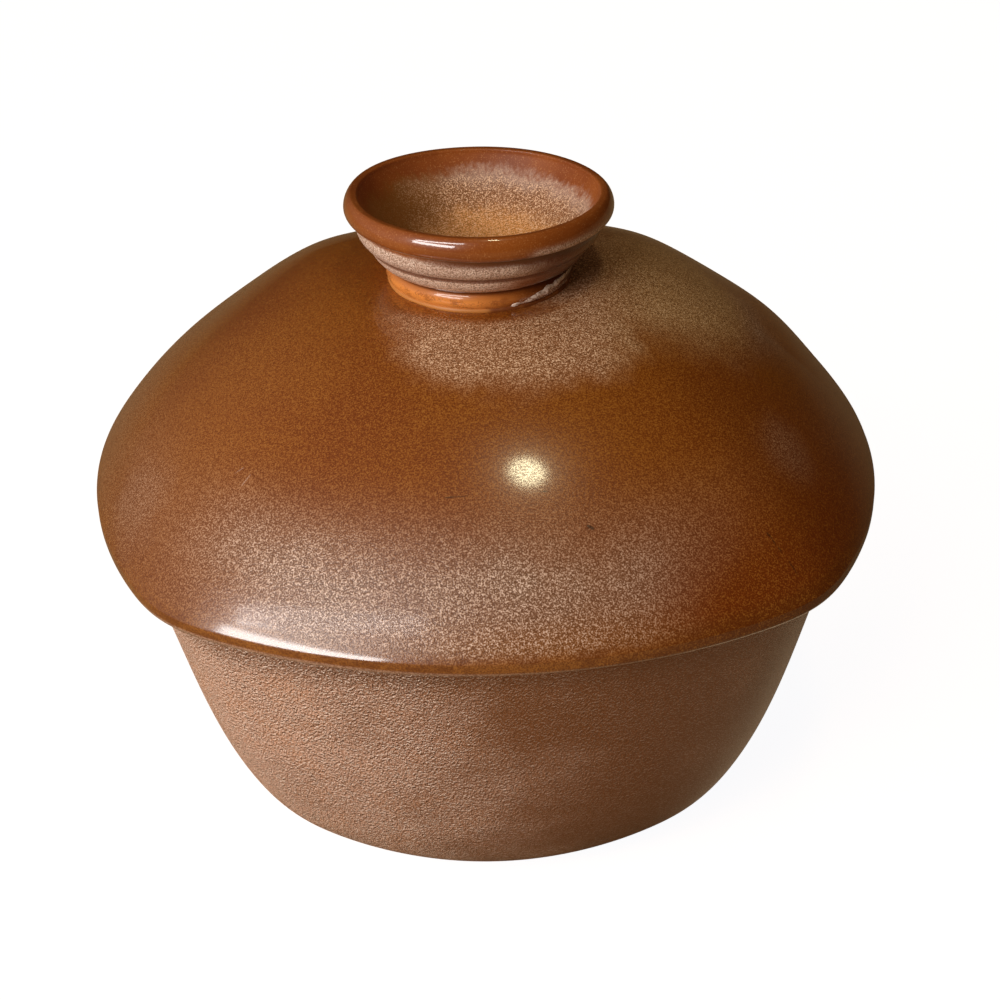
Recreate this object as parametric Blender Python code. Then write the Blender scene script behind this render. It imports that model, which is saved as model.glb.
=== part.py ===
"""Covered stoneware casserole with a rounded-square plan.

The cast pot carries a domed lid, which rests on the pot's rim and drops a flange into its mouth.
A flared, ribbed cup stuck to the lid's crown is the knob. Metres, +Z up; the origin is under the
middle of the pot's foot, and the side that the photograph shows faces -Y.
"""

import math

import bmesh
import bpy
from mathutils import Vector
from mathutils.geometry import interpolate_bezier

# Plan: a square with bowed sides and round corners, measured at the lid's edge
LID_HALF_WIDTH = 0.108
SIDE_CENTRE_SETBACK = 0.039
CORNER_RADIUS = 0.040

# Pot
POT_HEIGHT = 0.0985
POT_WALL = 0.0065
LID_OVERHANG = 0.0066
RIM_ROUND = 0.0015
WALL_LEAN = 0.0134
WALL_HANDLE = 0.044
HEEL_HANDLE = 0.041
FOOT_HALF_WIDTH = 0.046
FOOT_SQUARENESS = 0.5
FOOT_RING_WIDTH = 0.009
FOOT_RECESS = 0.0018

# Lid
CROWN_HEIGHT = 0.0561
CROWN_MARGIN = 0.0018
DOME_HANDLE = 0.0445
EDGE_HANDLE = 0.0012
EDGE_HEIGHT = 0.004
EDGE_ROUND = 0.002
LID_WALL = 0.007
FLANGE_DEPTH = 0.012
FLANGE_WALL = 0.0065
FLANGE_CLEARANCE = 0.0015
THROAT_HEIGHT = 0.0105

# Knob, with heights above the crown
KNOB_HEIGHT = 0.0247
KNOB_FOOT_RADIUS = 0.0234
FOOT_BULGE = 0.0012
WAIST_RADIUS = 0.0244
WAIST_HEIGHT = 0.0054
MID_GROOVE_RADIUS = 0.0296
MID_GROOVE_HEIGHT = 0.0112
LIP_GROOVE_RADIUS = 0.0330
LIP_GROOVE_HEIGHT = 0.0181
RIB_BULGE = 0.0012
LIP_RADIUS = 0.0357
LIP_CREST_INSET = 0.0019
CUP_MOUTH_RADIUS = 0.0320
CUP_MOUTH_DROP = 0.0012
CUP_WALL_LEAN = 0.0021
CUP_WALL_HANDLE = 0.0077
CUP_FLOOR_RADIUS = 0.009
CUP_FLOOR_HANDLE = 0.011
CUP_FLOOR_HEIGHT = 0.006

# Gap between pieces that touch, and the fineness of the surfaces
REST_GAP = 0.0003
SIDE_STEPS = 6
CORNER_STEPS = 6
KNOB_AROUND = 44
WALL_STEPS = 12
ROUND_STEPS = 4
SHARP_ANGLE = math.radians(40)

# Sizes that follow from those above
RIM_HALF_WIDTH = LID_HALF_WIDTH - LID_OVERHANG
MOUTH_HALF_WIDTH = RIM_HALF_WIDTH - POT_WALL
SIDE_RADIUS = LID_HALF_WIDTH + SIDE_CENTRE_SETBACK
CORNER_GAP = SIDE_RADIUS - CORNER_RADIUS
CORNER_CENTRE = (math.sqrt(2 * CORNER_GAP ** 2 - SIDE_CENTRE_SETBACK ** 2) - SIDE_CENTRE_SETBACK) / 2
CROWN_RADIUS = KNOB_FOOT_RADIUS + FOOT_BULGE + CROWN_MARGIN


def corner_angle():
    """Angle, from the middle of a side, at which the side's arc hands over to the corner's."""
    across = SIDE_RADIUS * CORNER_CENTRE
    along = SIDE_RADIUS * (CORNER_CENTRE + SIDE_CENTRE_SETBACK) - SIDE_CENTRE_SETBACK * CORNER_GAP
    return math.atan2(across, along)


def plan_reach(angle):
    """How far the plan reaches at an angle, where 1 is the middle of a side."""
    from_side = abs((angle + math.pi / 4) % (math.pi / 2) - math.pi / 4)
    along = math.cos(from_side)
    across = math.sin(from_side)
    if from_side <= corner_angle():
        to_side = SIDE_CENTRE_SETBACK * along
        reach = math.sqrt(SIDE_RADIUS ** 2 - (SIDE_CENTRE_SETBACK * across) ** 2) - to_side
    else:
        to_corner = CORNER_CENTRE * (along + across)
        reach = to_corner + math.sqrt(CORNER_RADIUS ** 2 - 2 * CORNER_CENTRE ** 2 + to_corner ** 2)
    return reach / LID_HALF_WIDTH


def plan_angles():
    """Angles right round the plan, closer together on its corners."""
    quarter = math.pi / 2
    turn = corner_angle()
    stops = [turn * step / SIDE_STEPS for step in range(SIDE_STEPS)]
    stops += [turn + (quarter - 2 * turn) * step / CORNER_STEPS for step in range(CORNER_STEPS)]
    stops += [quarter - turn + turn * step / SIDE_STEPS for step in range(SIDE_STEPS)]
    return [side * quarter + stop for side in range(4) for stop in stops]


def curve(start, start_handle, end_handle, end, steps):
    """Points (radius, height) of a cubic curve, both ends included."""
    knots = [Vector((radius, height, 0)) for radius, height in (start, start_handle, end_handle, end)]
    return [(point.x, point.y) for point in interpolate_bezier(*knots, steps + 1)]


def bulge(start, end, rise, steps):
    """Points of a shallow arc that stands proud of its chord, without its first end."""
    chord = Vector(end) - Vector(start)
    outward = Vector((chord.y, -chord.x)).normalized()
    points = []
    for step in range(1, steps + 1):
        share = step / steps
        point = Vector(start) + chord * share + outward * rise * 4 * share * (1 - share)
        points.append((point.x, point.y))
    return points


def quarter_round(centre, radius, first_angle, last_angle):
    """Points of an arc about (radius, height), both ends included."""
    points = []
    for step in range(ROUND_STEPS + 1):
        angle = math.radians(first_angle + (last_angle - first_angle) * step / ROUND_STEPS)
        points.append((centre[0] + radius * math.cos(angle), centre[1] + radius * math.sin(angle)))
    return points


def inside_of(outline, wall):
    """The outline moved one wall thickness to its left, which is the side of the hollow."""
    moved = []
    for index, point in enumerate(outline):
        before = Vector(outline[max(index - 1, 0)])
        after = Vector(outline[min(index + 1, len(outline) - 1)])
        along = (after - before).normalized()
        moved.append((point[0] - along.y * wall, point[1] + along.x * wall))
    return moved


def make_piece(name, rings, angles, color, roughness):
    """A closed body lofted through rings of (radius, height, squareness), with flat ends."""
    mesh = bpy.data.meshes.new(name)
    body = bmesh.new()
    loops = []
    for radius, height, squareness in rings:
        loop = []
        for angle in angles:
            reach = radius * (1 + squareness * (plan_reach(angle) - 1))
            loop.append(body.verts.new((reach * math.cos(angle), reach * math.sin(angle), height)))
        loops.append(loop)
    for lower, upper in zip(loops, loops[1:]):
        for step in range(len(angles)):
            body.faces.new((lower[step - 1], lower[step], upper[step], upper[step - 1]))
    body.faces.new(loops[0])
    body.faces.new(loops[-1])
    bmesh.ops.recalc_face_normals(body, faces=body.faces)
    body.to_mesh(mesh)
    body.free()
    mesh.shade_smooth()
    mesh.set_sharp_from_angle(angle=SHARP_ANGLE)
    mesh.materials.append(make_glaze(name, color, roughness))
    piece = bpy.data.objects.new(name, mesh)
    bpy.context.scene.collection.objects.link(piece)
    return piece


def make_glaze(name, color, roughness):
    """A fired glaze in one plain colour."""
    material = bpy.data.materials.new(name + "_glaze")
    material.use_nodes = True
    shader = material.node_tree.nodes["Principled BSDF"]
    shader.inputs["Base Color"].default_value = (*color, 1)
    shader.inputs["Roughness"].default_value = roughness
    shader.inputs["Metallic"].default_value = 0
    return material


def pot_squareness(height):
    """The pot's plan eases from the full square at its rim to a rounder foot."""
    return FOOT_SQUARENESS + (1 - FOOT_SQUARENESS) * height / POT_HEIGHT


def make_pot():
    """The bowl: a flared wall that turns under to a ring foot, and a flat rim with round edges."""
    wall = curve(
        (FOOT_HALF_WIDTH, 0),
        (FOOT_HALF_WIDTH + HEEL_HANDLE, 0),
        (RIM_HALF_WIDTH - WALL_LEAN, POT_HEIGHT - WALL_HANDLE),
        (RIM_HALF_WIDTH, POT_HEIGHT),
        WALL_STEPS,
    )
    hollow = inside_of(wall, POT_WALL)
    round_height = POT_HEIGHT - RIM_ROUND
    foot_inside = FOOT_HALF_WIDTH - FOOT_RING_WIDTH
    outline = [(foot_inside - FOOT_RECESS, FOOT_RECESS), (foot_inside, 0)]
    outline += [point for point in wall if point[1] < round_height - RIM_ROUND]
    outline += quarter_round((RIM_HALF_WIDTH - RIM_ROUND, round_height), RIM_ROUND, 0, 90)
    outline += quarter_round((MOUTH_HALF_WIDTH + RIM_ROUND, round_height), RIM_ROUND, 90, 180)
    outline += [point for point in reversed(hollow) if point[1] < round_height - RIM_ROUND]
    rings = [(radius, height, pot_squareness(height)) for radius, height in outline]
    return make_piece("pot", rings, plan_angles(), (0.30, 0.14, 0.07), 0.45)


def dome_squareness(radius):
    """The lid is round at its crown and takes up the pot's square by the rim."""
    share = (radius - CROWN_RADIUS) / (RIM_HALF_WIDTH - CROWN_RADIUS)
    return min(max(share, 0), 1)


def make_lid():
    """The cover: a flat crown, a dome to a rolled edge, a flat seat, and a flange under it."""
    dome = curve(
        (CROWN_RADIUS, CROWN_HEIGHT),
        (CROWN_RADIUS + DOME_HANDLE, CROWN_HEIGHT),
        (LID_HALF_WIDTH, EDGE_HEIGHT + EDGE_HANDLE),
        (LID_HALF_WIDTH, EDGE_HEIGHT),
        WALL_STEPS,
    )
    hollow = [point for point in inside_of(dome[::-1], LID_WALL) if point[1] > THROAT_HEIGHT]
    flange_root = MOUTH_HALF_WIDTH - FLANGE_CLEARANCE
    flange_inside = flange_root - FLANGE_WALL
    flange_tip = flange_root - FLANGE_DEPTH * WALL_LEAN / WALL_HANDLE
    tip_round = FLANGE_WALL / 2
    edge = quarter_round((LID_HALF_WIDTH - EDGE_ROUND, EDGE_ROUND), EDGE_ROUND, 0, -90)
    tip = quarter_round((flange_tip - tip_round, tip_round - FLANGE_DEPTH), tip_round, 0, -180)
    throat = curve(tip[-1], (flange_inside, 0), (flange_inside, LID_WALL), hollow[0], ROUND_STEPS)
    under = [(RIM_HALF_WIDTH, 0), (flange_root, 0)] + tip + throat[1:-1]
    rings = [(radius, height, dome_squareness(radius)) for radius, height in dome + edge]
    rings += [(radius, height, pot_squareness(POT_HEIGHT + min(height, 0))) for radius, height in under]
    rings += [(radius, height, dome_squareness(radius)) for radius, height in hollow]
    lid = make_piece("lid", rings, plan_angles(), (0.26, 0.075, 0.018), 0.32)
    lid.location.z = POT_HEIGHT + REST_GAP
    return lid


def make_knob(lid):
    """The handle: a turned cup with a ring foot, two ribs between grooves, and a rolled lip."""
    foot = (KNOB_FOOT_RADIUS, 0)
    waist = (WAIST_RADIUS, WAIST_HEIGHT)
    mid_groove = (MID_GROOVE_RADIUS, MID_GROOVE_HEIGHT)
    lip_groove = (LIP_GROOVE_RADIUS, LIP_GROOVE_HEIGHT)
    crest = (LIP_RADIUS - LIP_CREST_INSET, KNOB_HEIGHT)
    lip_swell = (8 * LIP_RADIUS - lip_groove[0] - crest[0]) / 6
    mouth = (CUP_MOUTH_RADIUS, KNOB_HEIGHT - CUP_MOUTH_DROP)
    floor = (CUP_FLOOR_RADIUS, CUP_FLOOR_HEIGHT)
    outline = [foot]
    outline += bulge(foot, waist, FOOT_BULGE, ROUND_STEPS)
    outline += bulge(waist, mid_groove, RIB_BULGE, ROUND_STEPS)
    outline += bulge(mid_groove, lip_groove, RIB_BULGE, ROUND_STEPS)
    swell_low = (lip_swell, lip_groove[1])
    swell_high = (lip_swell, crest[1])
    outline += curve(lip_groove, swell_low, swell_high, crest, 2 * ROUND_STEPS)[1:]
    mouth_brow = (mouth[0], crest[1])
    outline += curve(crest, mouth_brow, mouth_brow, mouth, ROUND_STEPS)[1:]
    cup_side = (mouth[0] - CUP_WALL_LEAN, mouth[1] - CUP_WALL_HANDLE)
    cup_bottom = (floor[0] + CUP_FLOOR_HANDLE, floor[1])
    outline += curve(mouth, cup_side, cup_bottom, floor, 2 * ROUND_STEPS)[1:]
    rings = [(radius, height, 0) for radius, height in outline]
    angles = [2 * math.pi * step / KNOB_AROUND for step in range(KNOB_AROUND)]
    knob = make_piece("knob", rings, angles, (0.27, 0.085, 0.03), 0.25)
    knob.parent = lid
    knob.location.z = CROWN_HEIGHT + REST_GAP
    return knob


for leftover in list(bpy.data.objects):
    bpy.data.objects.remove(leftover, do_unlink=True)
make_pot()
make_knob(make_lid())
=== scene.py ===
"""Covered stoneware casserole, dressed: the pot, its domed lid and the lid's cup-shaped knob.

The three glazed pieces follow the solids' sizes, in metres, with +Z up and the photographed side towards -Y.
"""

import math

import bpy
import numpy as np
from mathutils import Matrix, Vector


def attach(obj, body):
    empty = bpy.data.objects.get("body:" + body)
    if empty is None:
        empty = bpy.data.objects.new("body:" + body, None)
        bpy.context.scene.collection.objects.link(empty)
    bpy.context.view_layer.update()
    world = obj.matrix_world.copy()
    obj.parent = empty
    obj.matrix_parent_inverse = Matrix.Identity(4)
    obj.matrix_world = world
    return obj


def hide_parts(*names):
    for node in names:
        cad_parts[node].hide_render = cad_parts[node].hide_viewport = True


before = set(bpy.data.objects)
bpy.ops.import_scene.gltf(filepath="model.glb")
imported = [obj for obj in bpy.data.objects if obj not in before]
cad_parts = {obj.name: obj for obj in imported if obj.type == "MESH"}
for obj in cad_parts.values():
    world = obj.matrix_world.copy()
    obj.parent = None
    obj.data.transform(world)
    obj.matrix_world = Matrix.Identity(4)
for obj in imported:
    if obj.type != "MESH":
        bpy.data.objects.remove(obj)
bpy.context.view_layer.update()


# POT
# A slip-cast bowl with a square mouth and bowed sides, whose flared wall turns under to a ring foot.
# Its tan glaze has wrinkled in the kiln and is wiped off the foot ring. Below the rim it turns brown,
# partly thinner glaze and partly painted shade under the lid, and its wrinkles carry painted glints and shade.

LID_HALF_WIDTH = 0.108
SIDE_CENTRE_SETBACK = 0.039
CORNER_RADIUS = 0.040
POT_HEIGHT = 0.0985
POT_WALL = 0.0065
RIM_HALF_WIDTH = 0.1014
RIM_ROUND = 0.0015
WALL_LEAN = 0.0134
WALL_HANDLE = 0.044
HEEL_HANDLE = 0.041
FOOT_HALF_WIDTH = 0.046
FOOT_SQUARENESS = 0.5
FOOT_RING_WIDTH = 0.009
FOOT_RECESS = 0.0018
SIDE_RADIUS = LID_HALF_WIDTH + SIDE_CENTRE_SETBACK
CORNER_GAP = SIDE_RADIUS - CORNER_RADIUS
CORNER_CENTRE = (math.sqrt(2 * CORNER_GAP ** 2 - SIDE_CENTRE_SETBACK ** 2) - SIDE_CENTRE_SETBACK) / 2


def plan_reach(angles):
    """How far the rounded square reaches at each angle, where 1 is the middle of a side."""
    from_side = np.abs((angles + math.pi / 4) % (math.pi / 2) - math.pi / 4)
    along = np.cos(from_side)
    across = np.sin(from_side)
    corner_from = math.atan2(
        SIDE_RADIUS * CORNER_CENTRE,
        SIDE_RADIUS * (CORNER_CENTRE + SIDE_CENTRE_SETBACK) - SIDE_CENTRE_SETBACK * CORNER_GAP,
    )
    side = np.sqrt(SIDE_RADIUS ** 2 - (SIDE_CENTRE_SETBACK * across) ** 2) - SIDE_CENTRE_SETBACK * along
    to_corner = CORNER_CENTRE * (along + across)
    past = np.maximum(CORNER_RADIUS ** 2 - 2 * CORNER_CENTRE ** 2 + to_corner ** 2, 0)
    return np.where(from_side <= corner_from, side, to_corner + np.sqrt(past)) / LID_HALF_WIDTH


def bend(start, start_handle, end_handle, end, steps):
    """Points (radius, height) along a cubic curve, both ends included."""
    share = np.linspace(0, 1, steps + 1)[:, None]
    rest = 1 - share
    near = rest ** 3 * np.array(start) + 3 * rest ** 2 * share * np.array(start_handle)
    return near + 3 * rest * share ** 2 * np.array(end_handle) + share ** 3 * np.array(end)


def arc(centre, radius, first, last, steps=10):
    """Points of a round edge, between two angles in degrees."""
    turn = np.radians(np.linspace(first, last, steps + 1))
    return np.array(centre) + radius * np.stack([np.cos(turn), np.sin(turn)], axis=1)


def inside_of(outline, wall):
    """The outline moved one wall thickness to its left."""
    along = np.gradient(outline, axis=0)
    along /= np.linalg.norm(along, axis=1)[:, None]
    return outline + wall * np.stack([-along[:, 1], along[:, 0]], axis=1)


def trace(*stretches):
    """Joins stretches of an outline, and says how far along it each one ends."""
    outline = np.vstack(stretches)
    run = np.concatenate([[0], np.cumsum(np.hypot(*np.diff(outline, axis=0).T))])
    return outline, run, run[np.cumsum([len(stretch) for stretch in stretches]) - 1]


def throw(name, outline, run, squareness, uneven, around):
    """A closed smooth skin with a ring for each (radius, height), which knows how far along its outline it is."""
    angles = np.arange(around) * 2 * math.pi / around
    softened = np.hanning(2 * (around // 60) + 3)
    corners = np.convolve(np.tile(plan_reach(angles), 3), softened / softened.sum(), "same")[around:-around]
    corners -= corners.min()
    reach = outline[:, :1] * (1 + np.reshape(squareness, (-1, 1)) * corners)
    rings = np.stack([reach * np.cos(angles), reach * np.sin(angles), np.tile(outline[:, 1:], around)], axis=2)
    rings = uneven(rings, angles)
    points = np.vstack([rings.reshape(-1, 3), rings[0].mean(axis=0), rings[-1].mean(axis=0)])
    last = len(outline) * around
    here = np.arange(around)
    after = (here + 1) % around
    rows = np.arange(len(outline) - 1)[:, None] * around
    walls = np.stack([rows + here, rows + after, rows + around + after, rows + around + here], axis=2)
    faces = walls.reshape(-1, 4).tolist()
    faces += np.stack([np.full(around, last), after, here], axis=1).tolist()
    faces += np.stack([np.full(around, last + 1), last - around + here, last - around + after], axis=1).tolist()
    mesh = bpy.data.meshes.new(name)
    mesh.from_pydata(points.tolist(), [], faces)
    mesh.shade_smooth()
    lengths = np.concatenate([np.repeat(run, around), [run[0], run[-1]]])
    mesh.attributes.new("run", "FLOAT", "POINT").data.foreach_set("value", lengths)
    piece = bpy.data.objects.new(name, mesh)
    bpy.context.scene.collection.objects.link(piece)
    return piece


def cast_unevenness(rings, angles):
    """The wall's slow hand-worked swells, and one flatter side, which die out at the foot and the rim."""
    swell = 0.0002 * np.sin(3 * angles + 2.3) + 0.0002 * np.sin(7 * angles)
    swell -= 0.0005 * np.clip(np.cos(angles - math.radians(195)), 0, 1) ** 2
    share = np.clip(rings[:, :, 2] / POT_HEIGHT, 0, 1) * np.clip(1.02 - rings[:, :, 2] / POT_HEIGHT, 0, 1) * 4
    uneven = rings.copy()
    uneven[:, :, 0] += swell * share * np.cos(angles)
    uneven[:, :, 1] += swell * share * np.sin(angles)
    return uneven


pot_wall = bend(
    (FOOT_HALF_WIDTH, 0),
    (FOOT_HALF_WIDTH + HEEL_HANDLE, 0),
    (RIM_HALF_WIDTH - WALL_LEAN, POT_HEIGHT - WALL_HANDLE),
    (RIM_HALF_WIDTH, POT_HEIGHT),
    120,
)
pot_hollow = inside_of(pot_wall, POT_WALL)[::-1]
below_round = POT_HEIGHT - 2 * RIM_ROUND
foot_inside = FOOT_HALF_WIDTH - FOOT_RING_WIDTH
pot_outline, pot_run, (recess_end, ring_end, wall_end, rim_end, pot_end) = trace(
    [(0.004, FOOT_RECESS), (0.02, FOOT_RECESS), (foot_inside - FOOT_RECESS, FOOT_RECESS)],
    [(foot_inside - 0.0004, 0.0003), (foot_inside + 0.0003, 0), (FOOT_HALF_WIDTH - 0.003, 0)],
    pot_wall[pot_wall[:, 1] < below_round],
    np.vstack([
        arc((RIM_HALF_WIDTH - RIM_ROUND, POT_HEIGHT - RIM_ROUND), RIM_ROUND, 0, 90),
        arc((RIM_HALF_WIDTH - POT_WALL + RIM_ROUND, POT_HEIGHT - RIM_ROUND), RIM_ROUND, 90, 180),
    ]),
    np.vstack([pot_hollow[pot_hollow[:, 1] < below_round], [(0.02, POT_WALL), (0.004, POT_WALL)]]),
)
pot_squareness = FOOT_SQUARENESS + (1 - FOOT_SQUARENESS) * pot_outline[:, 1] / POT_HEIGHT
pot = throw("pot_glazed", pot_outline, pot_run, pot_squareness, cast_unevenness, 480)


class Tone:
    """One socket of a material. Arithmetic on it adds Math nodes, and node() adds any other kind."""

    def __init__(self, socket):
        self.socket = socket

    def node(self, kind, settings=None, sockets=None, output=0):
        """A node of a kind, with its settings made first and then its sockets set or linked."""
        tree = self.socket.id_data
        node = tree.nodes.new("ShaderNode" + kind)
        for name, value in (settings or {}).items():
            setattr(node, name, value)
        for name, value in (sockets or {}).items():
            if isinstance(value, Tone):
                tree.links.new(value.socket, node.inputs[name])
            else:
                node.inputs[name].default_value = value
        return Tone(node.outputs[output])

    def math(self, operation, *values):
        return self.node("Math", {"operation": operation}, dict(enumerate(values)))

    def __add__(self, other):
        return self.math("ADD", self, other)

    __radd__ = __add__

    def __sub__(self, other):
        return self.math("SUBTRACT", self, other)

    def __rsub__(self, other):
        return self.math("SUBTRACT", other, self)

    def __mul__(self, other):
        return self.math("MULTIPLY", self, other)

    __rmul__ = __mul__

    def __truediv__(self, other):
        return self.math("DIVIDE", self, other)

    def __rtruediv__(self, other):
        return self.math("DIVIDE", other, self)

    def __pow__(self, other):
        return self.math("POWER", self, other)

    def __abs__(self):
        return self.math("ABSOLUTE", self)

    def most(self, other):
        return self.math("MAXIMUM", self, other)

    def part(self, axis):
        """This place's distance along one axis."""
        return self.node("SeparateXYZ", {}, {0: self}, axis)

    def ease(self, none, full):
        """A mask that rises smoothly from 0 at one value to 1 at another, whichever is larger."""
        settings = {"interpolation_type": "SMOOTHSTEP"}
        return self.node("MapRange", settings, {"Value": self, "From Min": none, "From Max": full})

    def lay(self, colour, over):
        """A colour laid over another wherever this mask is 1."""
        colour, over = (tint if isinstance(tint, Tone) else (*tint, 1) for tint in (colour, over))
        return self.node("Mix", {"data_type": "RGBA"}, {0: self, 6: over, 7: colour}, 2)

    def cloud(self, finest, stretch=(1, 1, 1), detail=2.0, rough=0.5):
        """Noise at this place, from 0 to 1, with lumps of about the size given, in metres, along each axis."""
        scaled = [1 / (finest * each) for each in stretch]
        squeezed = self.node("VectorMath", {"operation": "MULTIPLY"}, {0: self, 1: scaled})
        return self.node("TexNoise", {}, {"Vector": squeezed, "Scale": 1.0, "Detail": detail, "Roughness": rough})


def start_finish(name):
    """A new finish: its material, its shader, the place on the piece and the way along its outline."""
    finish = bpy.data.materials.new(name)
    finish.use_nodes = True
    nodes = finish.node_tree.nodes
    place = Tone(nodes.new("ShaderNodeTexCoord").outputs["Object"])
    run = place.node("Attribute", {"attribute_name": "run"}, {}, 2)
    return finish, nodes["Principled BSDF"], place, run


def feed(shader, **tones):
    """Links or sets a shader's sockets, named with _ for a space."""
    for name, tone in tones.items():
        socket = shader.inputs[name.replace("_", " ")]
        if isinstance(tone, Tone):
            socket.id_data.links.new(tone.socket, socket)
        else:
            socket.default_value = tone


def relief(height, deep, strength=1.0):
    """A surface normal raised by a height from 0 to 1, over a depth in metres."""
    return height.node("Bump", {}, {"Height": height, "Distance": deep, "Strength": strength})


BARE_CLAY = (0.56, 0.42, 0.29)
POT_PINK = (0.82, 0.455, 0.305)
POT_ORANGE = (0.84, 0.400, 0.215)
POT_BROWN = (0.25, 0.086, 0.026)
POT_PAINTED_GLINT = (1.00, 0.80, 0.66)
POT_PAINTED_SHADE = (0.19, 0.070, 0.028)

pot_glaze, shader, place, run = start_finish("pot_wrinkled_glaze")
height = place.part(2)
drift = place.cloud(0.060)
pinker = (place.part(0) + 0.05 * drift).ease(0.065, -0.051)


def crinkled(place):
    """The height of the wrinkled glaze, from 0 to 1: slow wrinkles with finer ones on them."""
    return 0.5 * place.cloud(0.00078, (1, 1, 1), 2.0, 0.5) + 0.5 * place.cloud(0.00045, (1, 1, 1), 1.0)


# Painted light and shade on the wrinkles: the height is read again a small step higher, so that flanks facing up
# are painted pale, as if lit from above, and flanks facing down are painted dark, as if shaded.
EMBOSS_STEP = (0, 0, 0.00032)
crinkle = crinkled(place)
lit_flank = crinkle - crinkled(place.node("VectorMath", {"operation": "ADD"}, {0: place, 1: EMBOSS_STEP}))
soft_patch = place.cloud(0.018, (1.5, 1.5, 1), 2.0)
rougher = 0.26 + 0.74 * (pinker * 0.7 + soft_patch * 0.5).ease(0.25, 0.75)
tan = (place.cloud(0.012, detail=3.0, rough=0.6).ease(0.46, 0.62) * 0.5).lay(POT_ORANGE, POT_PINK)
colour = (pinker + 0.9 * (soft_patch - 0.5)).ease(0.0, 1.0).lay(tan, POT_BROWN)
# Painted shade below the rim, where the lid overhangs, together with the glaze thinning to brown there.
colour = (run.ease(wall_end - 0.014, wall_end - 0.004) * 0.65).lay(POT_BROWN, colour)
# Painted shade on the wrinkles' lower flanks, then painted glints on their upper flanks.
colour = (lit_flank.ease(0.02, -0.17) * rougher * 0.80).lay(POT_PAINTED_SHADE, colour)
colour = (lit_flank.ease(0.00, 0.15) * rougher * 0.95).lay(POT_PAINTED_GLINT, colour)
bare = run.ease(recess_end - 0.0010, recess_end) * run.ease(ring_end + 0.0040, ring_end + 0.0030)
clay = place.cloud(0.0015).lay((0.62, 0.48, 0.35), BARE_CLAY)
colour = bare.lay(clay, colour)
feed(
    shader,
    Base_Color=colour,
    Roughness=0.34 + 0.16 * crinkle + 0.3 * bare,
    Specular_IOR_Level=0.55,
    Normal=relief(crinkle * rougher, 0.0016, 1.0),
)
pot.data.materials.append(pot_glaze)
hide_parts("pot")
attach(pot, "pot")


# LID
# A slip-cast cover that rests on the pot's rim: flat crown, dome, rolled edge, and a flange underneath.
# Its brown satin glaze frosts over with tan crystals where it lies thick and stays clear on the edges.

CROWN_HEIGHT = 0.0561
CROWN_RADIUS = 0.0264
DOME_HANDLE = 0.0445
EDGE_HANDLE = 0.0012
EDGE_HEIGHT = 0.004
EDGE_ROUND = 0.002
LID_WALL = 0.007
FLANGE_DEPTH = 0.012
FLANGE_WALL = 0.0065
FLANGE_CLEARANCE = 0.0015
THROAT_HEIGHT = 0.0105
REST_GAP = 0.0003
SEAT_HEIGHT = POT_HEIGHT + REST_GAP

dome = bend(
    (LID_HALF_WIDTH, EDGE_HEIGHT),
    (LID_HALF_WIDTH, EDGE_HEIGHT + EDGE_HANDLE),
    (CROWN_RADIUS + DOME_HANDLE, CROWN_HEIGHT),
    (CROWN_RADIUS, CROWN_HEIGHT),
    140,
)
lid_hollow = inside_of(dome, LID_WALL)[::-1]
lid_hollow = lid_hollow[lid_hollow[:, 1] > THROAT_HEIGHT]
flange_root = RIM_HALF_WIDTH - POT_WALL - FLANGE_CLEARANCE
flange_inside = flange_root - FLANGE_WALL
flange_tip = flange_root - FLANGE_DEPTH * WALL_LEAN / WALL_HANDLE
tip = arc((flange_tip - FLANGE_WALL / 2, FLANGE_WALL / 2 - FLANGE_DEPTH), FLANGE_WALL / 2, -180, 0)
throat = bend(lid_hollow[-1], (flange_inside, LID_WALL), (flange_inside, 0), tip[0], 12)
lid_outline, lid_run, (hollow_end, flange_end, seat_end, edge_end, lid_end) = trace(
    np.vstack([[(0.004, CROWN_HEIGHT - LID_WALL), (0.014, CROWN_HEIGHT - LID_WALL)], lid_hollow]),
    np.vstack([throat[1:-1], tip]),
    [(flange_root, 0), (RIM_HALF_WIDTH, 0)],
    arc((LID_HALF_WIDTH - EDGE_ROUND, EDGE_ROUND), EDGE_ROUND, -90, 0),
    np.vstack([dome, [(0.014, CROWN_HEIGHT), (0.004, CROWN_HEIGHT)]]),
)
domed = np.clip((lid_outline[:, 0] - CROWN_RADIUS) / (RIM_HALF_WIDTH - CROWN_RADIUS), 0, 1)
flanged = 1 + (1 - FOOT_SQUARENESS) * np.minimum(lid_outline[:, 1], 0) / POT_HEIGHT
lid_squareness = np.where((lid_run > hollow_end) & (lid_run <= seat_end), flanged, domed)


def dome_unevenness(rings, angles):
    """The dome's slow dips and swells, the same above and below, which die out at the edge and the crown."""
    uneven = rings.copy()
    across, back = rings[:, :, 0], rings[:, :, 1]
    reach = np.hypot(across, back)
    share = np.clip((reach - CROWN_RADIUS) / 0.02, 0, 1) * np.clip((0.103 - reach) / 0.02, 0, 1)
    swell = 0.0001 * np.sin(46 * across + 20 * back + 0.6) + 0.0001 * np.sin(31 * back - 38 * across + 2.1)
    for x, rise in ((-0.046, 0.0011), (-0.077, -0.0009), (0.047, 0.0010), (0.090, 0.0030)):
        swell += rise * np.exp(-((across - x) / 0.013) ** 2) * np.clip(back / 0.03, 0, 1)
    uneven[:, :, 0] -= 0.0009 * np.clip(across / LID_HALF_WIDTH, 0, 1) ** 3 * np.clip((back + 0.05) / 0.05, 0, 1)
    uneven[:, :, 2] += swell * share + SEAT_HEIGHT
    return uneven


lid = throw("lid_glazed", lid_outline, lid_run, lid_squareness, dome_unevenness, 480)


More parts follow.
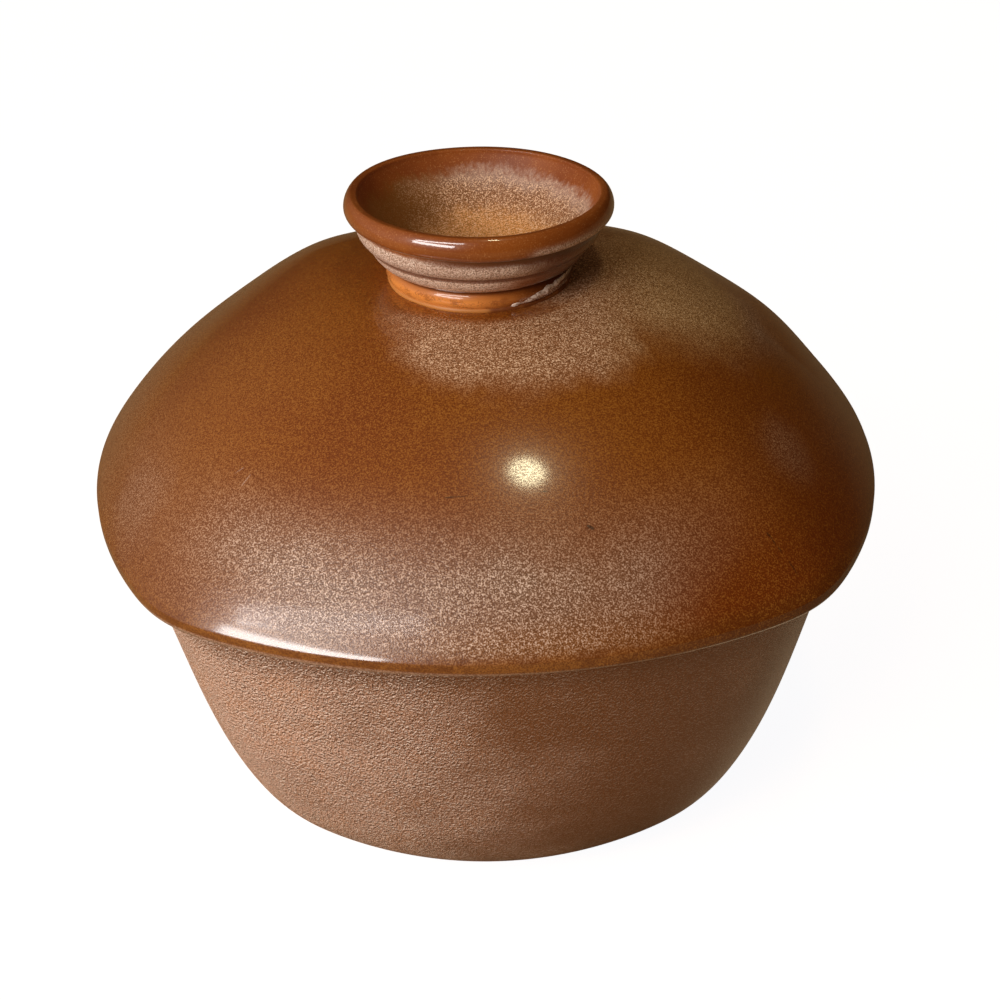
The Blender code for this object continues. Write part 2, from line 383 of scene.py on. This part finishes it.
def spot(place, centre, reach):
    """How far this place is from a centre, where 1 is the rim of an oval of the given reach each way."""
    off = place.node("VectorMath", {"operation": "SUBTRACT"}, {0: place, 1: centre})
    scaled = off.node("VectorMath", {"operation": "DIVIDE"}, {0: off, 1: reach})
    return scaled.node("VectorMath", {"operation": "LENGTH"}, {0: scaled}, 1)


def scratch(place, start, end, width):
    """A fine mark between two points, 1 along its middle."""
    along = Vector(end) - Vector(start)
    off = place.node("VectorMath", {"operation": "SUBTRACT"}, {0: place, 1: start})
    share = off.node("VectorMath", {"operation": "DOT_PRODUCT"}, {0: off, 1: along / along.length_squared}, 1)
    nearest = share.node("Mix", {"data_type": "VECTOR"}, {0: share, 4: start, 5: end}, 1)
    beside = place.node("VectorMath", {"operation": "DISTANCE"}, {0: place, 1: nearest}, 1)
    return beside.ease(width, 0.3 * width)


def frost(cover, film, pale, colour, speck, pitted=0.9):
    """A crystal frost over a colour: pits, a film and pale grains, which fade out where the cover ends."""
    crystal = (speck.ease(0.60, 0.28) * pitted).lay(FROST_PIT, film)
    return (cover ** 1.5).lay((speck.ease(0.46, 0.74) * (0.3 + 0.7 * cover)).lay(pale, crystal), colour)


LID_BROWN = (0.250, 0.060, 0.005)
LID_AMBER = (0.300, 0.086, 0.007)
LID_DEEP = (0.130, 0.025, 0.002)
LID_PAINTED_SHADE_RED = (0.200, 0.034, 0.002)
LID_SPECK = (0.420, 0.160, 0.022)
EDGE_AMBER = (0.330, 0.118, 0.024)
EDGE_PAINTED_SHADE = (0.160, 0.040, 0.004)
GOLD_FILM = (0.330, 0.130, 0.036)
FROST_PIT = (0.110, 0.036, 0.010)
FROST_FILM = (0.310, 0.163, 0.094)
FROST_PALE = (0.920, 0.660, 0.520)
CROWN_FILM = (0.390, 0.165, 0.068)
CROWN_PALE = (0.920, 0.610, 0.400)
HAZE_SHEEN_FILM = (0.500, 0.270, 0.105)
HAZE_SHEEN_PALE = (0.860, 0.580, 0.330)

lid_glaze, shader, place, run = start_finish("lid_satin_glaze")
across = place.part(0)
back = place.part(1)
height = place.part(2) - SEAT_HEIGHT
drift = place.cloud(0.050)
ragged = place.cloud(0.022, (1, 1, 1), 3.0, 0.6) - 0.5
top = run.ease(seat_end - 0.0005, seat_end + 0.0005)
corner = abs(across * back) + 0.012 * across + 0.0022 * ragged
faces_front = (abs(back) - abs(across)).ease(-0.030, 0.020)
band = height.ease(0.0400, 0.0170) * height.ease(0.0024, 0.0075) * (1 - 0.34 * across.ease(0.0, 0.06))
band = band * corner.ease(0.0066, 0.0036) * (0.35 + 0.65 * faces_front) * (0.9 + 0.8 * ragged)
from_axis = spot(place, (0, 0, 0.150), (0.028, 0.028, 1.0))
by_knob = (spot(place, (0.008, -0.030, 0.150), (0.036, 0.029, 1.0)) + 0.8 * ragged).ease(1.10, 0.62)
by_knob = by_knob * from_axis.ease(0.95, 1.15)
# A frost haze right of the knob, made stronger so that it also stands as a painted sheen on the dome's right.
haze_and_sheen = (spot(place, (0.040, 0.004, 0.150), (0.046, 0.042, 1.0)) + 0.5 * ragged).ease(1.10, 0.55) * 0.92
behind = (spot(place, (-0.008, 0.086, 0.150), (0.058, 0.026, 1.0)) + 0.9 * ragged).ease(1.10, 0.55) * 0.85
# Frost films at the dome's two ends; the one on the left is a painted sheen.
end_frost_and_sheen = (spot(place, (-0.089, -0.048, 0.115), (0.024, 0.032, 0.020)) + 0.8 * ragged).ease(1.10, 0.20) * 0.50
end_frost_and_sheen = end_frost_and_sheen.most((spot(place, (0.077, -0.049, 0.125), (0.014, 0.015, 0.014)) + 0.8 * ragged).ease(1.20, 0.20) * 0.45)
cover = band.most(by_knob).most(haze_and_sheen).most(behind).most(end_frost_and_sheen) * top
grain = place.cloud(0.00038, detail=0.0)
tooth = place.cloud(0.00090, detail=2.0, rough=0.6)
speck = 0.7 * grain + 0.3 * tooth
colour = (drift + 0.25 * ragged).ease(0.32, 0.68).lay(LID_AMBER, LID_BROWN)
# Painted shade: the lower dome on the right side is laid darker and redder.
colour = (across.ease(0.010, 0.060) * height.ease(0.036, 0.010) * 0.95).lay(LID_PAINTED_SHADE_RED, colour)
# The clear edge: amber on the left, turning darker brown towards the right as painted shade.
edge = across.ease(0.010, 0.060).lay(EDGE_PAINTED_SHADE, EDGE_AMBER)
colour = (height.ease(0.0090, 0.0045) * (0.6 + 0.3 * across.ease(0.010, 0.060))).lay(edge, colour)
# Painted shade on the lower dome at the far left.
colour = (across.ease(-0.058, -0.084) * height.ease(0.024, 0.008) * 0.35).lay(EDGE_PAINTED_SHADE, colour)
colour = (speck.ease(0.60, 0.32) * 0.70).lay(LID_DEEP, colour)
colour = (speck.ease(0.46, 0.74) * 0.58).lay(LID_SPECK, colour)
mottle = place.cloud(0.0036, (1.6, 1.6, 1), 3.0, 0.7).ease(0.44, 0.62)
colour = (mottle * height.ease(0.0075, 0.0045) * 0.50).lay(LID_DEEP, colour)
crowned = height.ease(0.036, 0.044)
golden = height.ease(0.0150, 0.0060) * across.ease(-0.045, 0.0)
# Olive film on the crown's right: partly frost colour, partly a painted sheen.
hazy_and_sheen = crowned * across.ease(0.024, 0.050)
film = hazy_and_sheen.lay(HAZE_SHEEN_FILM, crowned.lay(CROWN_FILM, golden.lay(GOLD_FILM, FROST_FILM)))
pale = hazy_and_sheen.lay(HAZE_SHEEN_PALE, crowned.lay(CROWN_PALE, FROST_PALE))
colour = frost(cover, film, pale, colour, speck, 0.72)
# A pale line along the edge's lower arris: partly glaze thinned on the arris, partly a painted reflection.
rounded = run + 0.0008 * across.ease(-0.050, 0.040)
arris = run.ease(edge_end - 0.0032, edge_end - 0.0026) * rounded.ease(edge_end + 0.0003, edge_end - 0.0005)
colour = (arris * (0.25 + 0.55 * speck.ease(0.40, 0.60))).lay((0.62, 0.38, 0.27), colour)
marks = scratch(place, (0.0236, -0.0845, 0.1264), (0.0246, -0.0848, 0.1259), 0.0006)
crack = scratch(place, (-0.0106, -0.0796, 0.1325), (0.0172, -0.0783, 0.1329), 0.00035)
marks = marks.most(crack * place.cloud(0.004).ease(0.40, 0.60) * 0.8)
nick = scratch(place, (0.0684, -0.0758, 0.1176), (0.0763, -0.0816, 0.1078), 0.00045)
marks = marks.most(nick * place.cloud(0.003).ease(0.42, 0.58) * 0.8)
colour = (marks * 0.85).lay((0.050, 0.016, 0.006), colour)
rubs = scratch(place, (-0.0612, -0.0650, 0.1288), (-0.0590, -0.0632, 0.1306), 0.00030)
rubs = rubs.most(scratch(place, (-0.0632, -0.0610, 0.1300), (-0.0610, -0.0606, 0.1312), 0.00025))
colour = (rubs * 0.2).lay(FROST_PALE, colour)
bare = run.ease(flange_end - 0.0010, flange_end) * run.ease(seat_end, seat_end - 0.0020)
colour = bare.lay(place.cloud(0.0015).lay((0.62, 0.48, 0.35), BARE_CLAY), colour)
feed(
    shader,
    Base_Color=colour,
    Roughness=0.31 + 0.02 * cover + 0.2 * bare,
    Specular_IOR_Level=0.5,
    Coat_Weight=((1 - 0.97 * cover) * (1 - 0.7 * across.ease(0.050, 0.085)) * (0.40 + 0.60 * speck.ease(0.40, 0.58))).most(height.ease(0.0095, 0.0060) * across.ease(0.060, 0.0) * across.ease(-0.088, -0.070)) * (1 - bare),
    Coat_Roughness=0.11,
    Coat_IOR=1.6,
    Normal=relief(tooth * (0.30 + 0.70 * cover) + grain * cover, 0.00016, 0.5),
)
lid.data.materials.append(lid_glaze)
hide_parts("lid")
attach(lid, "lid")


# KNOB
# A small thrown cup, stuck upright on the crown with slip: ring foot, two ribs between grooves, rolled lip.
# The glaze is glossy on the lip and foot, and frosts on the ribs and inside the cup.

KNOB_HEIGHT = 0.0247
KNOB_FOOT_RADIUS = 0.0238
FOOT_BULGE = 0.0014
WAIST = (0.0238, 0.0054)
MID_GROOVE = (0.0296, 0.0112)
LIP_GROOVE = (0.0330, 0.0181)
RIB_BULGE = 0.0012
LIP_RADIUS = 0.0357
LIP_CREST_INSET = 0.0019
CUP_MOUTH = (0.0320, 0.0235)
CUP_WALL_LEAN = 0.0021
CUP_WALL_HANDLE = 0.0077
CUP_FLOOR = (0.009, 0.006)
CUP_FLOOR_HANDLE = 0.011
KNOB_LIFT = SEAT_HEIGHT + CROWN_HEIGHT + REST_GAP
KNOB_OFF_CENTRE = -0.0006


def rib(start, end, rise, steps=18):
    """Points of a shallow rib between two grooves, without its first end."""
    share = np.linspace(0, 1, steps + 1)[1:, None]
    chord = np.array(end) - np.array(start)
    outward = np.array((chord[1], -chord[0])) / np.hypot(*chord)
    return np.array(start) + chord * share + outward * rise * 4 * share * (1 - share)


crest = (LIP_RADIUS - LIP_CREST_INSET, KNOB_HEIGHT)
LIP_HANDLES = ((0.0374, 0.0180), (0.0356, 0.0240))
mouth_brow = (CUP_MOUTH[0], KNOB_HEIGHT)
knob_outline, knob_run, (base_end, waist_end, mid_end, groove_end, crest_end, mouth_end, knob_end) = trace(
    [(0.004, 0), (0.02, 0), (KNOB_FOOT_RADIUS, 0)],
    rib((KNOB_FOOT_RADIUS, 0), WAIST, FOOT_BULGE),
    rib(WAIST, MID_GROOVE, RIB_BULGE),
    rib(MID_GROOVE, LIP_GROOVE, RIB_BULGE),
    bend(LIP_GROOVE, *LIP_HANDLES, crest, 30)[1:],
    bend(crest, mouth_brow, mouth_brow, CUP_MOUTH, 16)[1:],
    np.vstack([
        bend(
            CUP_MOUTH,
            (CUP_MOUTH[0] - CUP_WALL_LEAN, CUP_MOUTH[1] - CUP_WALL_HANDLE),
            (CUP_FLOOR[0] + CUP_FLOOR_HANDLE, CUP_FLOOR[1]),
            CUP_FLOOR,
            40,
        )[1:],
        [(0.004, CUP_FLOOR[1])],
    ]),
)


def hand_thrown(rings, angles):
    """The wobble left by fingers on the wheel, and the knob's slight lean and place off the crown's middle."""
    uneven = rings.copy()
    share = np.clip(rings[:, :, 2] / KNOB_HEIGHT, 0, 1)
    wobble = 0.00018 * np.sin(3 * angles + 0.5) + 0.00012 * np.sin(5 * angles + 1.9)
    uneven[:, :, 0] += wobble * share * np.cos(angles) + KNOB_OFF_CENTRE
    uneven[:, :, 1] += wobble * share * np.sin(angles)
    lean = 1.1 + (rings[:, :, 1] + 0.4 * rings[:, :, 0]) / LIP_RADIUS
    pinched = np.exp(-((rings[:, :, 2] - LIP_GROOVE[1]) / 0.0035) ** 2) * np.clip(-rings[:, :, 0] / LIP_RADIUS, 0, 1)
    uneven[:, :, 2] += KNOB_LIFT - 0.0010 * share * lean + 0.0006 * pinched
    return uneven


knob = throw("knob_glazed", knob_outline, knob_run, np.zeros(len(knob_outline)), hand_thrown, 300)

LIP_BROWN = (0.330, 0.085, 0.012)
LIP_DEEP = (0.230, 0.050, 0.007)
LIP_SPECK = (0.600, 0.260, 0.095)
GROOVE_BROWN = (0.145, 0.034, 0.007)
FOOT_AMBER = (0.860, 0.300, 0.062)
FOOT_BROWN = (0.420, 0.120, 0.022)
RIB_FILM = (0.740, 0.480, 0.350)
LOW_RIB_LIT_FILM = (0.880, 0.580, 0.420)
RIB_SHADED = (0.110, 0.020, 0.004)
RIB_PALE = (0.950, 0.780, 0.650)
CUP_FILM = (0.360, 0.150, 0.060)
CUP_PAINTED_SHADE = (0.250, 0.090, 0.012)
CUP_PALE = (0.900, 0.590, 0.380)
CUP_PINK = (0.560, 0.370, 0.290)
CUP_ORANGE = (0.880, 0.380, 0.100)
CRUST_PALE = (0.860, 0.670, 0.560)

knob_glaze, shader, place, run = start_finish("knob_glossy_glaze")
across = place.part(0)
ragged = place.cloud(0.009, (1, 1, 1), 3.0, 0.6) - 0.5
grain = place.cloud(0.00036, detail=0.0)
tooth = place.cloud(0.00080, detail=2.0, rough=0.6)
speck = 0.7 * grain + 0.3 * tooth
ribs = run.ease(waist_end - 0.0002, waist_end + 0.0010) * (run + 0.002 * ragged).ease(groove_end - 0.0004, groove_end - 0.0018)
lower = run.ease(mid_end + 0.0004, mid_end - 0.0004)
paler = (across + 0.02 * ragged + 0.010 * lower).ease(0.030, 0.008)
lip_patch = run.ease(groove_end + 0.0002, groove_end + 0.0010) * run.ease(groove_end + 0.0055, groove_end + 0.0030)
lip_patch = lip_patch * (across + 0.02 * ragged).ease(0.010, 0.018)
rib_cover = (ribs * (0.04 + 0.96 * paler) * (1 + 0.5 * ragged)).most(lip_patch)
cup_run = run + 0.006 * ragged + 0.006 * (place.cloud(0.0011, (1, 1, 4)) - 0.5)
cup = cup_run.ease(mouth_end + 0.0028, mouth_end + 0.0090)
# The cup's frost thins to the left: painted shade on the inside wall that faces away from the window.
cup_cover = cup * (0.25 + 0.75 * (across + 0.02 * ragged).ease(-0.030, -0.004))
cup_floor = cup_run.ease(mouth_end + 0.013, mouth_end + 0.024)
# The foot's amber shows on the left only; to the right it is left dark brown as painted shade.
lit_amber = (across + 0.01 * ragged).ease(0.014, -0.004)
foot = run.ease(base_end - 0.0005, base_end) * run.ease(waist_end - 0.0001, waist_end - 0.0010) * lit_amber


def groove_at(bottom, reach):
    """The darker colour in a groove, partly glaze that pooled there and partly painted shade, to a reach on both
    sides of its bottom.
    """
    return abs(run - bottom).ease(reach, 0.4 * reach)


# Painted shade under the lip's overhang, fading out to the left.
shade_under_lip = groove_at(groove_end, 0.0030) * across.ease(-0.024, -0.006)
groove = groove_at(waist_end, 0.0013).most(groove_at(mid_end, 0.0014)).most(shade_under_lip)
colour = place.cloud(0.016).ease(0.30, 0.70).lay(LIP_BROWN, LIP_DEEP)
colour = (speck.ease(0.56, 0.36) * 0.35).lay(LIP_DEEP, colour)
colour = (speck.ease(0.56, 0.76) * 0.40).lay(LIP_SPECK, colour)
streak_and_shade = (place.cloud(0.0050, (1, 1, 0.35), 3.0, 0.6) + 0.5 * (speck - 0.5)).ease(0.42, 0.66)
# Brown streaks, and painted shade as the foot darkens towards the waist under the lower rib.
streak_and_shade = (streak_and_shade * 0.85).most(run.ease(waist_end - 0.0036, waist_end - 0.0010) * 0.8)
colour = foot.lay(streak_and_shade.lay(FOOT_BROWN, FOOT_AMBER), colour)
# The lower rib's film is lighter: painted light on a rib that faces down.
colour = frost(rib_cover, lower.lay(LOW_RIB_LIT_FILM, RIB_FILM), RIB_PALE, colour, speck, 0.65)
# Painted shade inside the cup: its left side is laid dark, its right side pink and, on the floor, orange.
right_side = (across + 0.02 * ragged).ease(-0.022, 0.004)
cup_film = (cup_floor * right_side).lay(CUP_ORANGE, right_side.lay(CUP_FILM, CUP_PAINTED_SHADE))
cup_film = (cup_run.ease(mouth_end + 0.0125, mouth_end + 0.0065) * right_side * 0.7).lay(CUP_PINK, cup_film)
colour = frost(cup_cover, cup_film, CUP_PALE, cup.lay(cup_film, colour), speck, 0.60)
colour = (groove * 0.85).lay(GROOVE_BROWN, colour)
colour = (ribs.most(run.ease(waist_end, waist_end - 0.001)) * (across + 0.02 * ragged).ease(0.008, 0.022) * run.ease(groove_end, groove_end - 0.001) * 0.9).lay(RIB_SHADED, colour)
crusted = run.ease(base_end + 0.0002, base_end + 0.0008) * run.ease(base_end + 0.0034, base_end + 0.0020)
crusted = crusted * (across + 0.02 * ragged).ease(0.008, 0.013) * place.part(1).ease(-0.006, -0.012)
colour = (crusted * (speck + 0.3 * ragged).ease(0.40, 0.52)).lay(CRUST_PALE, colour)
feed(
    shader,
    Base_Color=colour,
    Roughness=0.30 + 0.14 * rib_cover + 0.25 * run.ease(crest_end, mouth_end),
    Specular_IOR_Level=0.35,
    Coat_Weight=(1 - 0.85 * rib_cover) * (1 - 0.5 * foot) * run.ease(crest_end + 0.0022, crest_end + 0.0006),
    Coat_Roughness=0.06,
    Coat_IOR=1.6,
    Normal=relief(tooth * ribs + grain * (ribs + cup), 0.00020, 0.5),
)
knob.data.materials.append(knob_glaze)
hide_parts("knob")
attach(knob, "lid")


# SLIP SEAM
# The bead of slip that sticks the knob's foot to the crown and closes the gap between them.
# It took the amber glaze, but on one side the glaze crawled back and left a pale, crackled crust.

BEAD_RADIUS = 0.0008


def lay_bead(name, turn, reach, rise, tall):
    """A bead of slip round the knob's foot: its reach and rise at each turn, and how tall it is for its width."""
    around = np.arange(16) * 2 * math.pi / 16
    ridge = KNOB_FOOT_RADIUS + BEAD_RADIUS / 4 + rise[:, None] / 4 + reach[:, None] * np.cos(around)
    rings = np.stack([
        ridge * np.cos(turn)[:, None] + KNOB_OFF_CENTRE,
        ridge * np.sin(turn)[:, None],
        KNOB_LIFT + rise[:, None] + tall * reach[:, None] * np.sin(around),
    ], axis=2)
    rows = np.arange(len(turn) - 1)[:, None] * 16
    here = np.arange(16)
    after = (here + 1) % 16
    walls = np.stack([rows + here, rows + 16 + here, rows + 16 + after, rows + after], axis=2).reshape(-1, 4)
    ends = [list(range(16)), [(len(turn) - 1) * 16 + step for step in range(15, -1, -1)]]
    mesh = bpy.data.meshes.new(name)
    mesh.from_pydata(rings.reshape(-1, 3).tolist(), [], walls.tolist() + ends)
    mesh.shade_smooth()
    bead = bpy.data.objects.new(name, mesh)
    bpy.context.scene.collection.objects.link(bead)
    return bead


turn = np.radians(np.linspace(0, 360, 241))
slip_seam = lay_bead("slip_seam", turn, BEAD_RADIUS * (1 + 0.12 * np.sin(9 * turn)), 0 * turn, 1.0)
seam_glaze, shader, place, run = start_finish("slip_seam_glaze")
seam_patch = place.cloud(0.006).ease(0.35, 0.65)
SEAM_AMBER = (0.55, 0.200, 0.040)
SEAM_BROWN_AND_SHADE = (0.20, 0.050, 0.009)
# Amber on the left and in patches, brown to the right, where the brown is partly painted shade.
seam_colour = (seam_patch * 0.5 + place.part(0).ease(0.006, -0.004)).ease(0.2, 1.0).lay(SEAM_AMBER, SEAM_BROWN_AND_SHADE)
feed(shader, Base_Color=seam_colour, Roughness=0.45)
slip_seam.data.materials.append(seam_glaze)
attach(slip_seam, "lid")

turn = np.radians(np.linspace(-74, -20, 240))
along = np.linspace(0, 1, 240)
lumps = np.convolve(np.random.default_rng(8).random(280), np.hanning(41) / 20, "valid")
lumps = np.clip(4.0 * lumps - 1.5, 0, 1)
thick = np.clip(along / 0.06, 0.02, 1) * np.clip((1 - along) / 0.5, 0.02, 1) ** 0.7 * (0.4 + 0.6 * lumps)
slip_crust = lay_bead("slip_crust", turn, 0.0011 * thick, 0.0011 + 0.0031 * along, 1.4)
crust_glaze, shader, place, run = start_finish("slip_crust_glaze")
flake = place.cloud(0.0009, (1, 1, 1), 3.0, 0.65)
crust_colour = flake.ease(0.36, 0.50).lay(CRUST_PALE, (0.36, 0.19, 0.12))
feed(shader, Base_Color=crust_colour, Roughness=0.65, Normal=relief(flake, 0.0003, 0.8))
slip_crust.data.materials.append(crust_glaze)
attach(slip_crust, "lid")


# STUDIO
# A plain pale floor under the dish, a window in two panes to the left, a small warm lamp overhead, and the
# camera at the photograph's viewing angle. The glaze mirrors a dim, warm room.

FLOOR_TAN = (0.290, 0.200, 0.108)
FLOOR_LIFT = (0.93, 0.94, 0.96)
FLOOR_MIRRORED = (0.040, 0.027, 0.012)
FLOOR_BESIDE = (0.49, 0.385, 0.25)
ROOM_SHADE = (0.133, 0.092, 0.050)
ROOM_GLOW = (0.50, 0.48, 0.46)
MIRRORED_SHADE = (0.012, 0.007, 0.003)
MIRRORED_GLOW = (0.21, 0.198, 0.182)
WINDOW_SIDE = (-0.962, -0.084, 0.259)


def seen_by(tone):
    """Masks for what the camera sees, also through something clear, and for what the glaze mirrors."""
    rays = ("Is Camera Ray", "Is Transmission Ray", "Is Glossy Ray")
    camera_ray, clear_ray, glossy_ray = (tone.node("LightPath", {}, {}, ray) for ray in rays)
    return camera_ray.most(clear_ray), glossy_ray


floor_mesh = bpy.data.meshes.new("floor")
floor_mesh.from_pydata([(-6, -6, 0), (6, -6, 0), (6, 6, 0), (-6, 6, 0)], [], [(0, 1, 2, 3)])
floor = bpy.data.objects.new("floor", floor_mesh)
bpy.context.scene.collection.objects.link(floor)
floor_paint, shader, place, run = start_finish("floor_paint")
seen, mirrored = seen_by(place)
# The floor glows only in what the glaze mirrors, brightest in a patch beside the pot, which puts a sheen on the
# pot's right side.
beside = spot(place, (0.095, 0.000, 0), (0.075, 0.085, 1)).ease(1.0, 0.5)
mirrored_floor = beside.lay(FLOOR_BESIDE, FLOOR_MIRRORED)
feed(
    shader,
    Base_Color=(*FLOOR_TAN, 1),
    Roughness=0.9,
    Specular_IOR_Level=0.0,
    Emission_Color=seen.lay(FLOOR_LIFT, mirrored.lay(mirrored_floor, (0, 0, 0))),
    Emission_Strength=1.0,
)
floor_mesh.materials.append(floor_paint)

room = bpy.data.worlds.new("room")
room.use_nodes = True
backdrop = room.node_tree.nodes["Background"]
seen, mirrored = seen_by(Tone(backdrop.outputs[0]))
towards = seen.node("TexCoord", {}, {}, "Generated")
glow = towards.node("VectorMath", {"operation": "DOT_PRODUCT"}, {0: towards, 1: WINDOW_SIDE}, 1).most(0.0) ** 2
walls = mirrored.lay(glow.lay(MIRRORED_GLOW, MIRRORED_SHADE), glow.lay(ROOM_GLOW, ROOM_SHADE))
feed(backdrop, Color=seen.lay((1, 1, 1), walls))
bpy.context.scene.world = room


def hang_lamp(name, turn, raised, distance, size, power, colour, shape="RECTANGLE", slant=0):
    """A lamp that faces the dish, placed by its turn from the front, its height in degrees and its distance."""
    turn, raised = math.radians(turn), math.radians(raised)
    out = Vector((math.sin(turn) * math.cos(raised), -math.cos(turn) * math.cos(raised), math.sin(raised)))
    lamp = bpy.data.lights.new(name, "AREA")
    lamp.shape = shape
    lamp.size, lamp.size_y = size
    lamp.energy = power
    lamp.color = colour
    held = bpy.data.objects.new(name, lamp)
    held.location = Vector((0, 0, 0.10)) + distance * out
    slanted = Matrix.Rotation(math.radians(slant), 3, "Z")
    held.rotation_euler = (out.to_track_quat("Z", "Y").to_matrix() @ slanted).to_euler()
    bpy.context.scene.collection.objects.link(held)
    return held


hang_lamp("window", -40, 24, 1.6, (0.94, 0.28), 11.0, (1.0, 0.98, 0.96))
hang_lamp("upper_pane", -38, 39, 1.6, (1.00, 0.14), 6.5, (1.0, 0.98, 0.97), slant=18)
side_wall = hang_lamp("side_wall", -84, 4, 1.6, (1.4, 0.8), 8.5, (1.0, 0.97, 0.93))
side_wall.visible_glossy = False
hang_lamp("overhead_lamp", 26.6, 71.9, 1.104, (0.13, 0.13), 1.0, (1.0, 0.93, 0.60), "ELLIPSE")

AIM = Vector((0, 0, 0.0836))
TURN = math.radians(-0.52)
RAISED = math.radians(31.05)
ROLL = math.radians(-1.19)
lens = bpy.data.cameras.new("camera")
lens.sensor_width = 36.0
lens.lens = 72.72
lens.shift_x = 0.01344
camera = bpy.data.objects.new("camera", lens)
away = Vector((math.sin(TURN) * math.cos(RAISED), -math.cos(TURN) * math.cos(RAISED), math.sin(RAISED)))
camera.location = AIM + 0.580 * away
camera.rotation_euler = (away.to_track_quat("Z", "Y").to_matrix() @ Matrix.Rotation(ROLL, 3, "Z")).to_euler()
bpy.context.scene.collection.objects.link(camera)
bpy.context.scene.camera = camera
bpy.context.scene.view_settings.view_transform = "Standard"
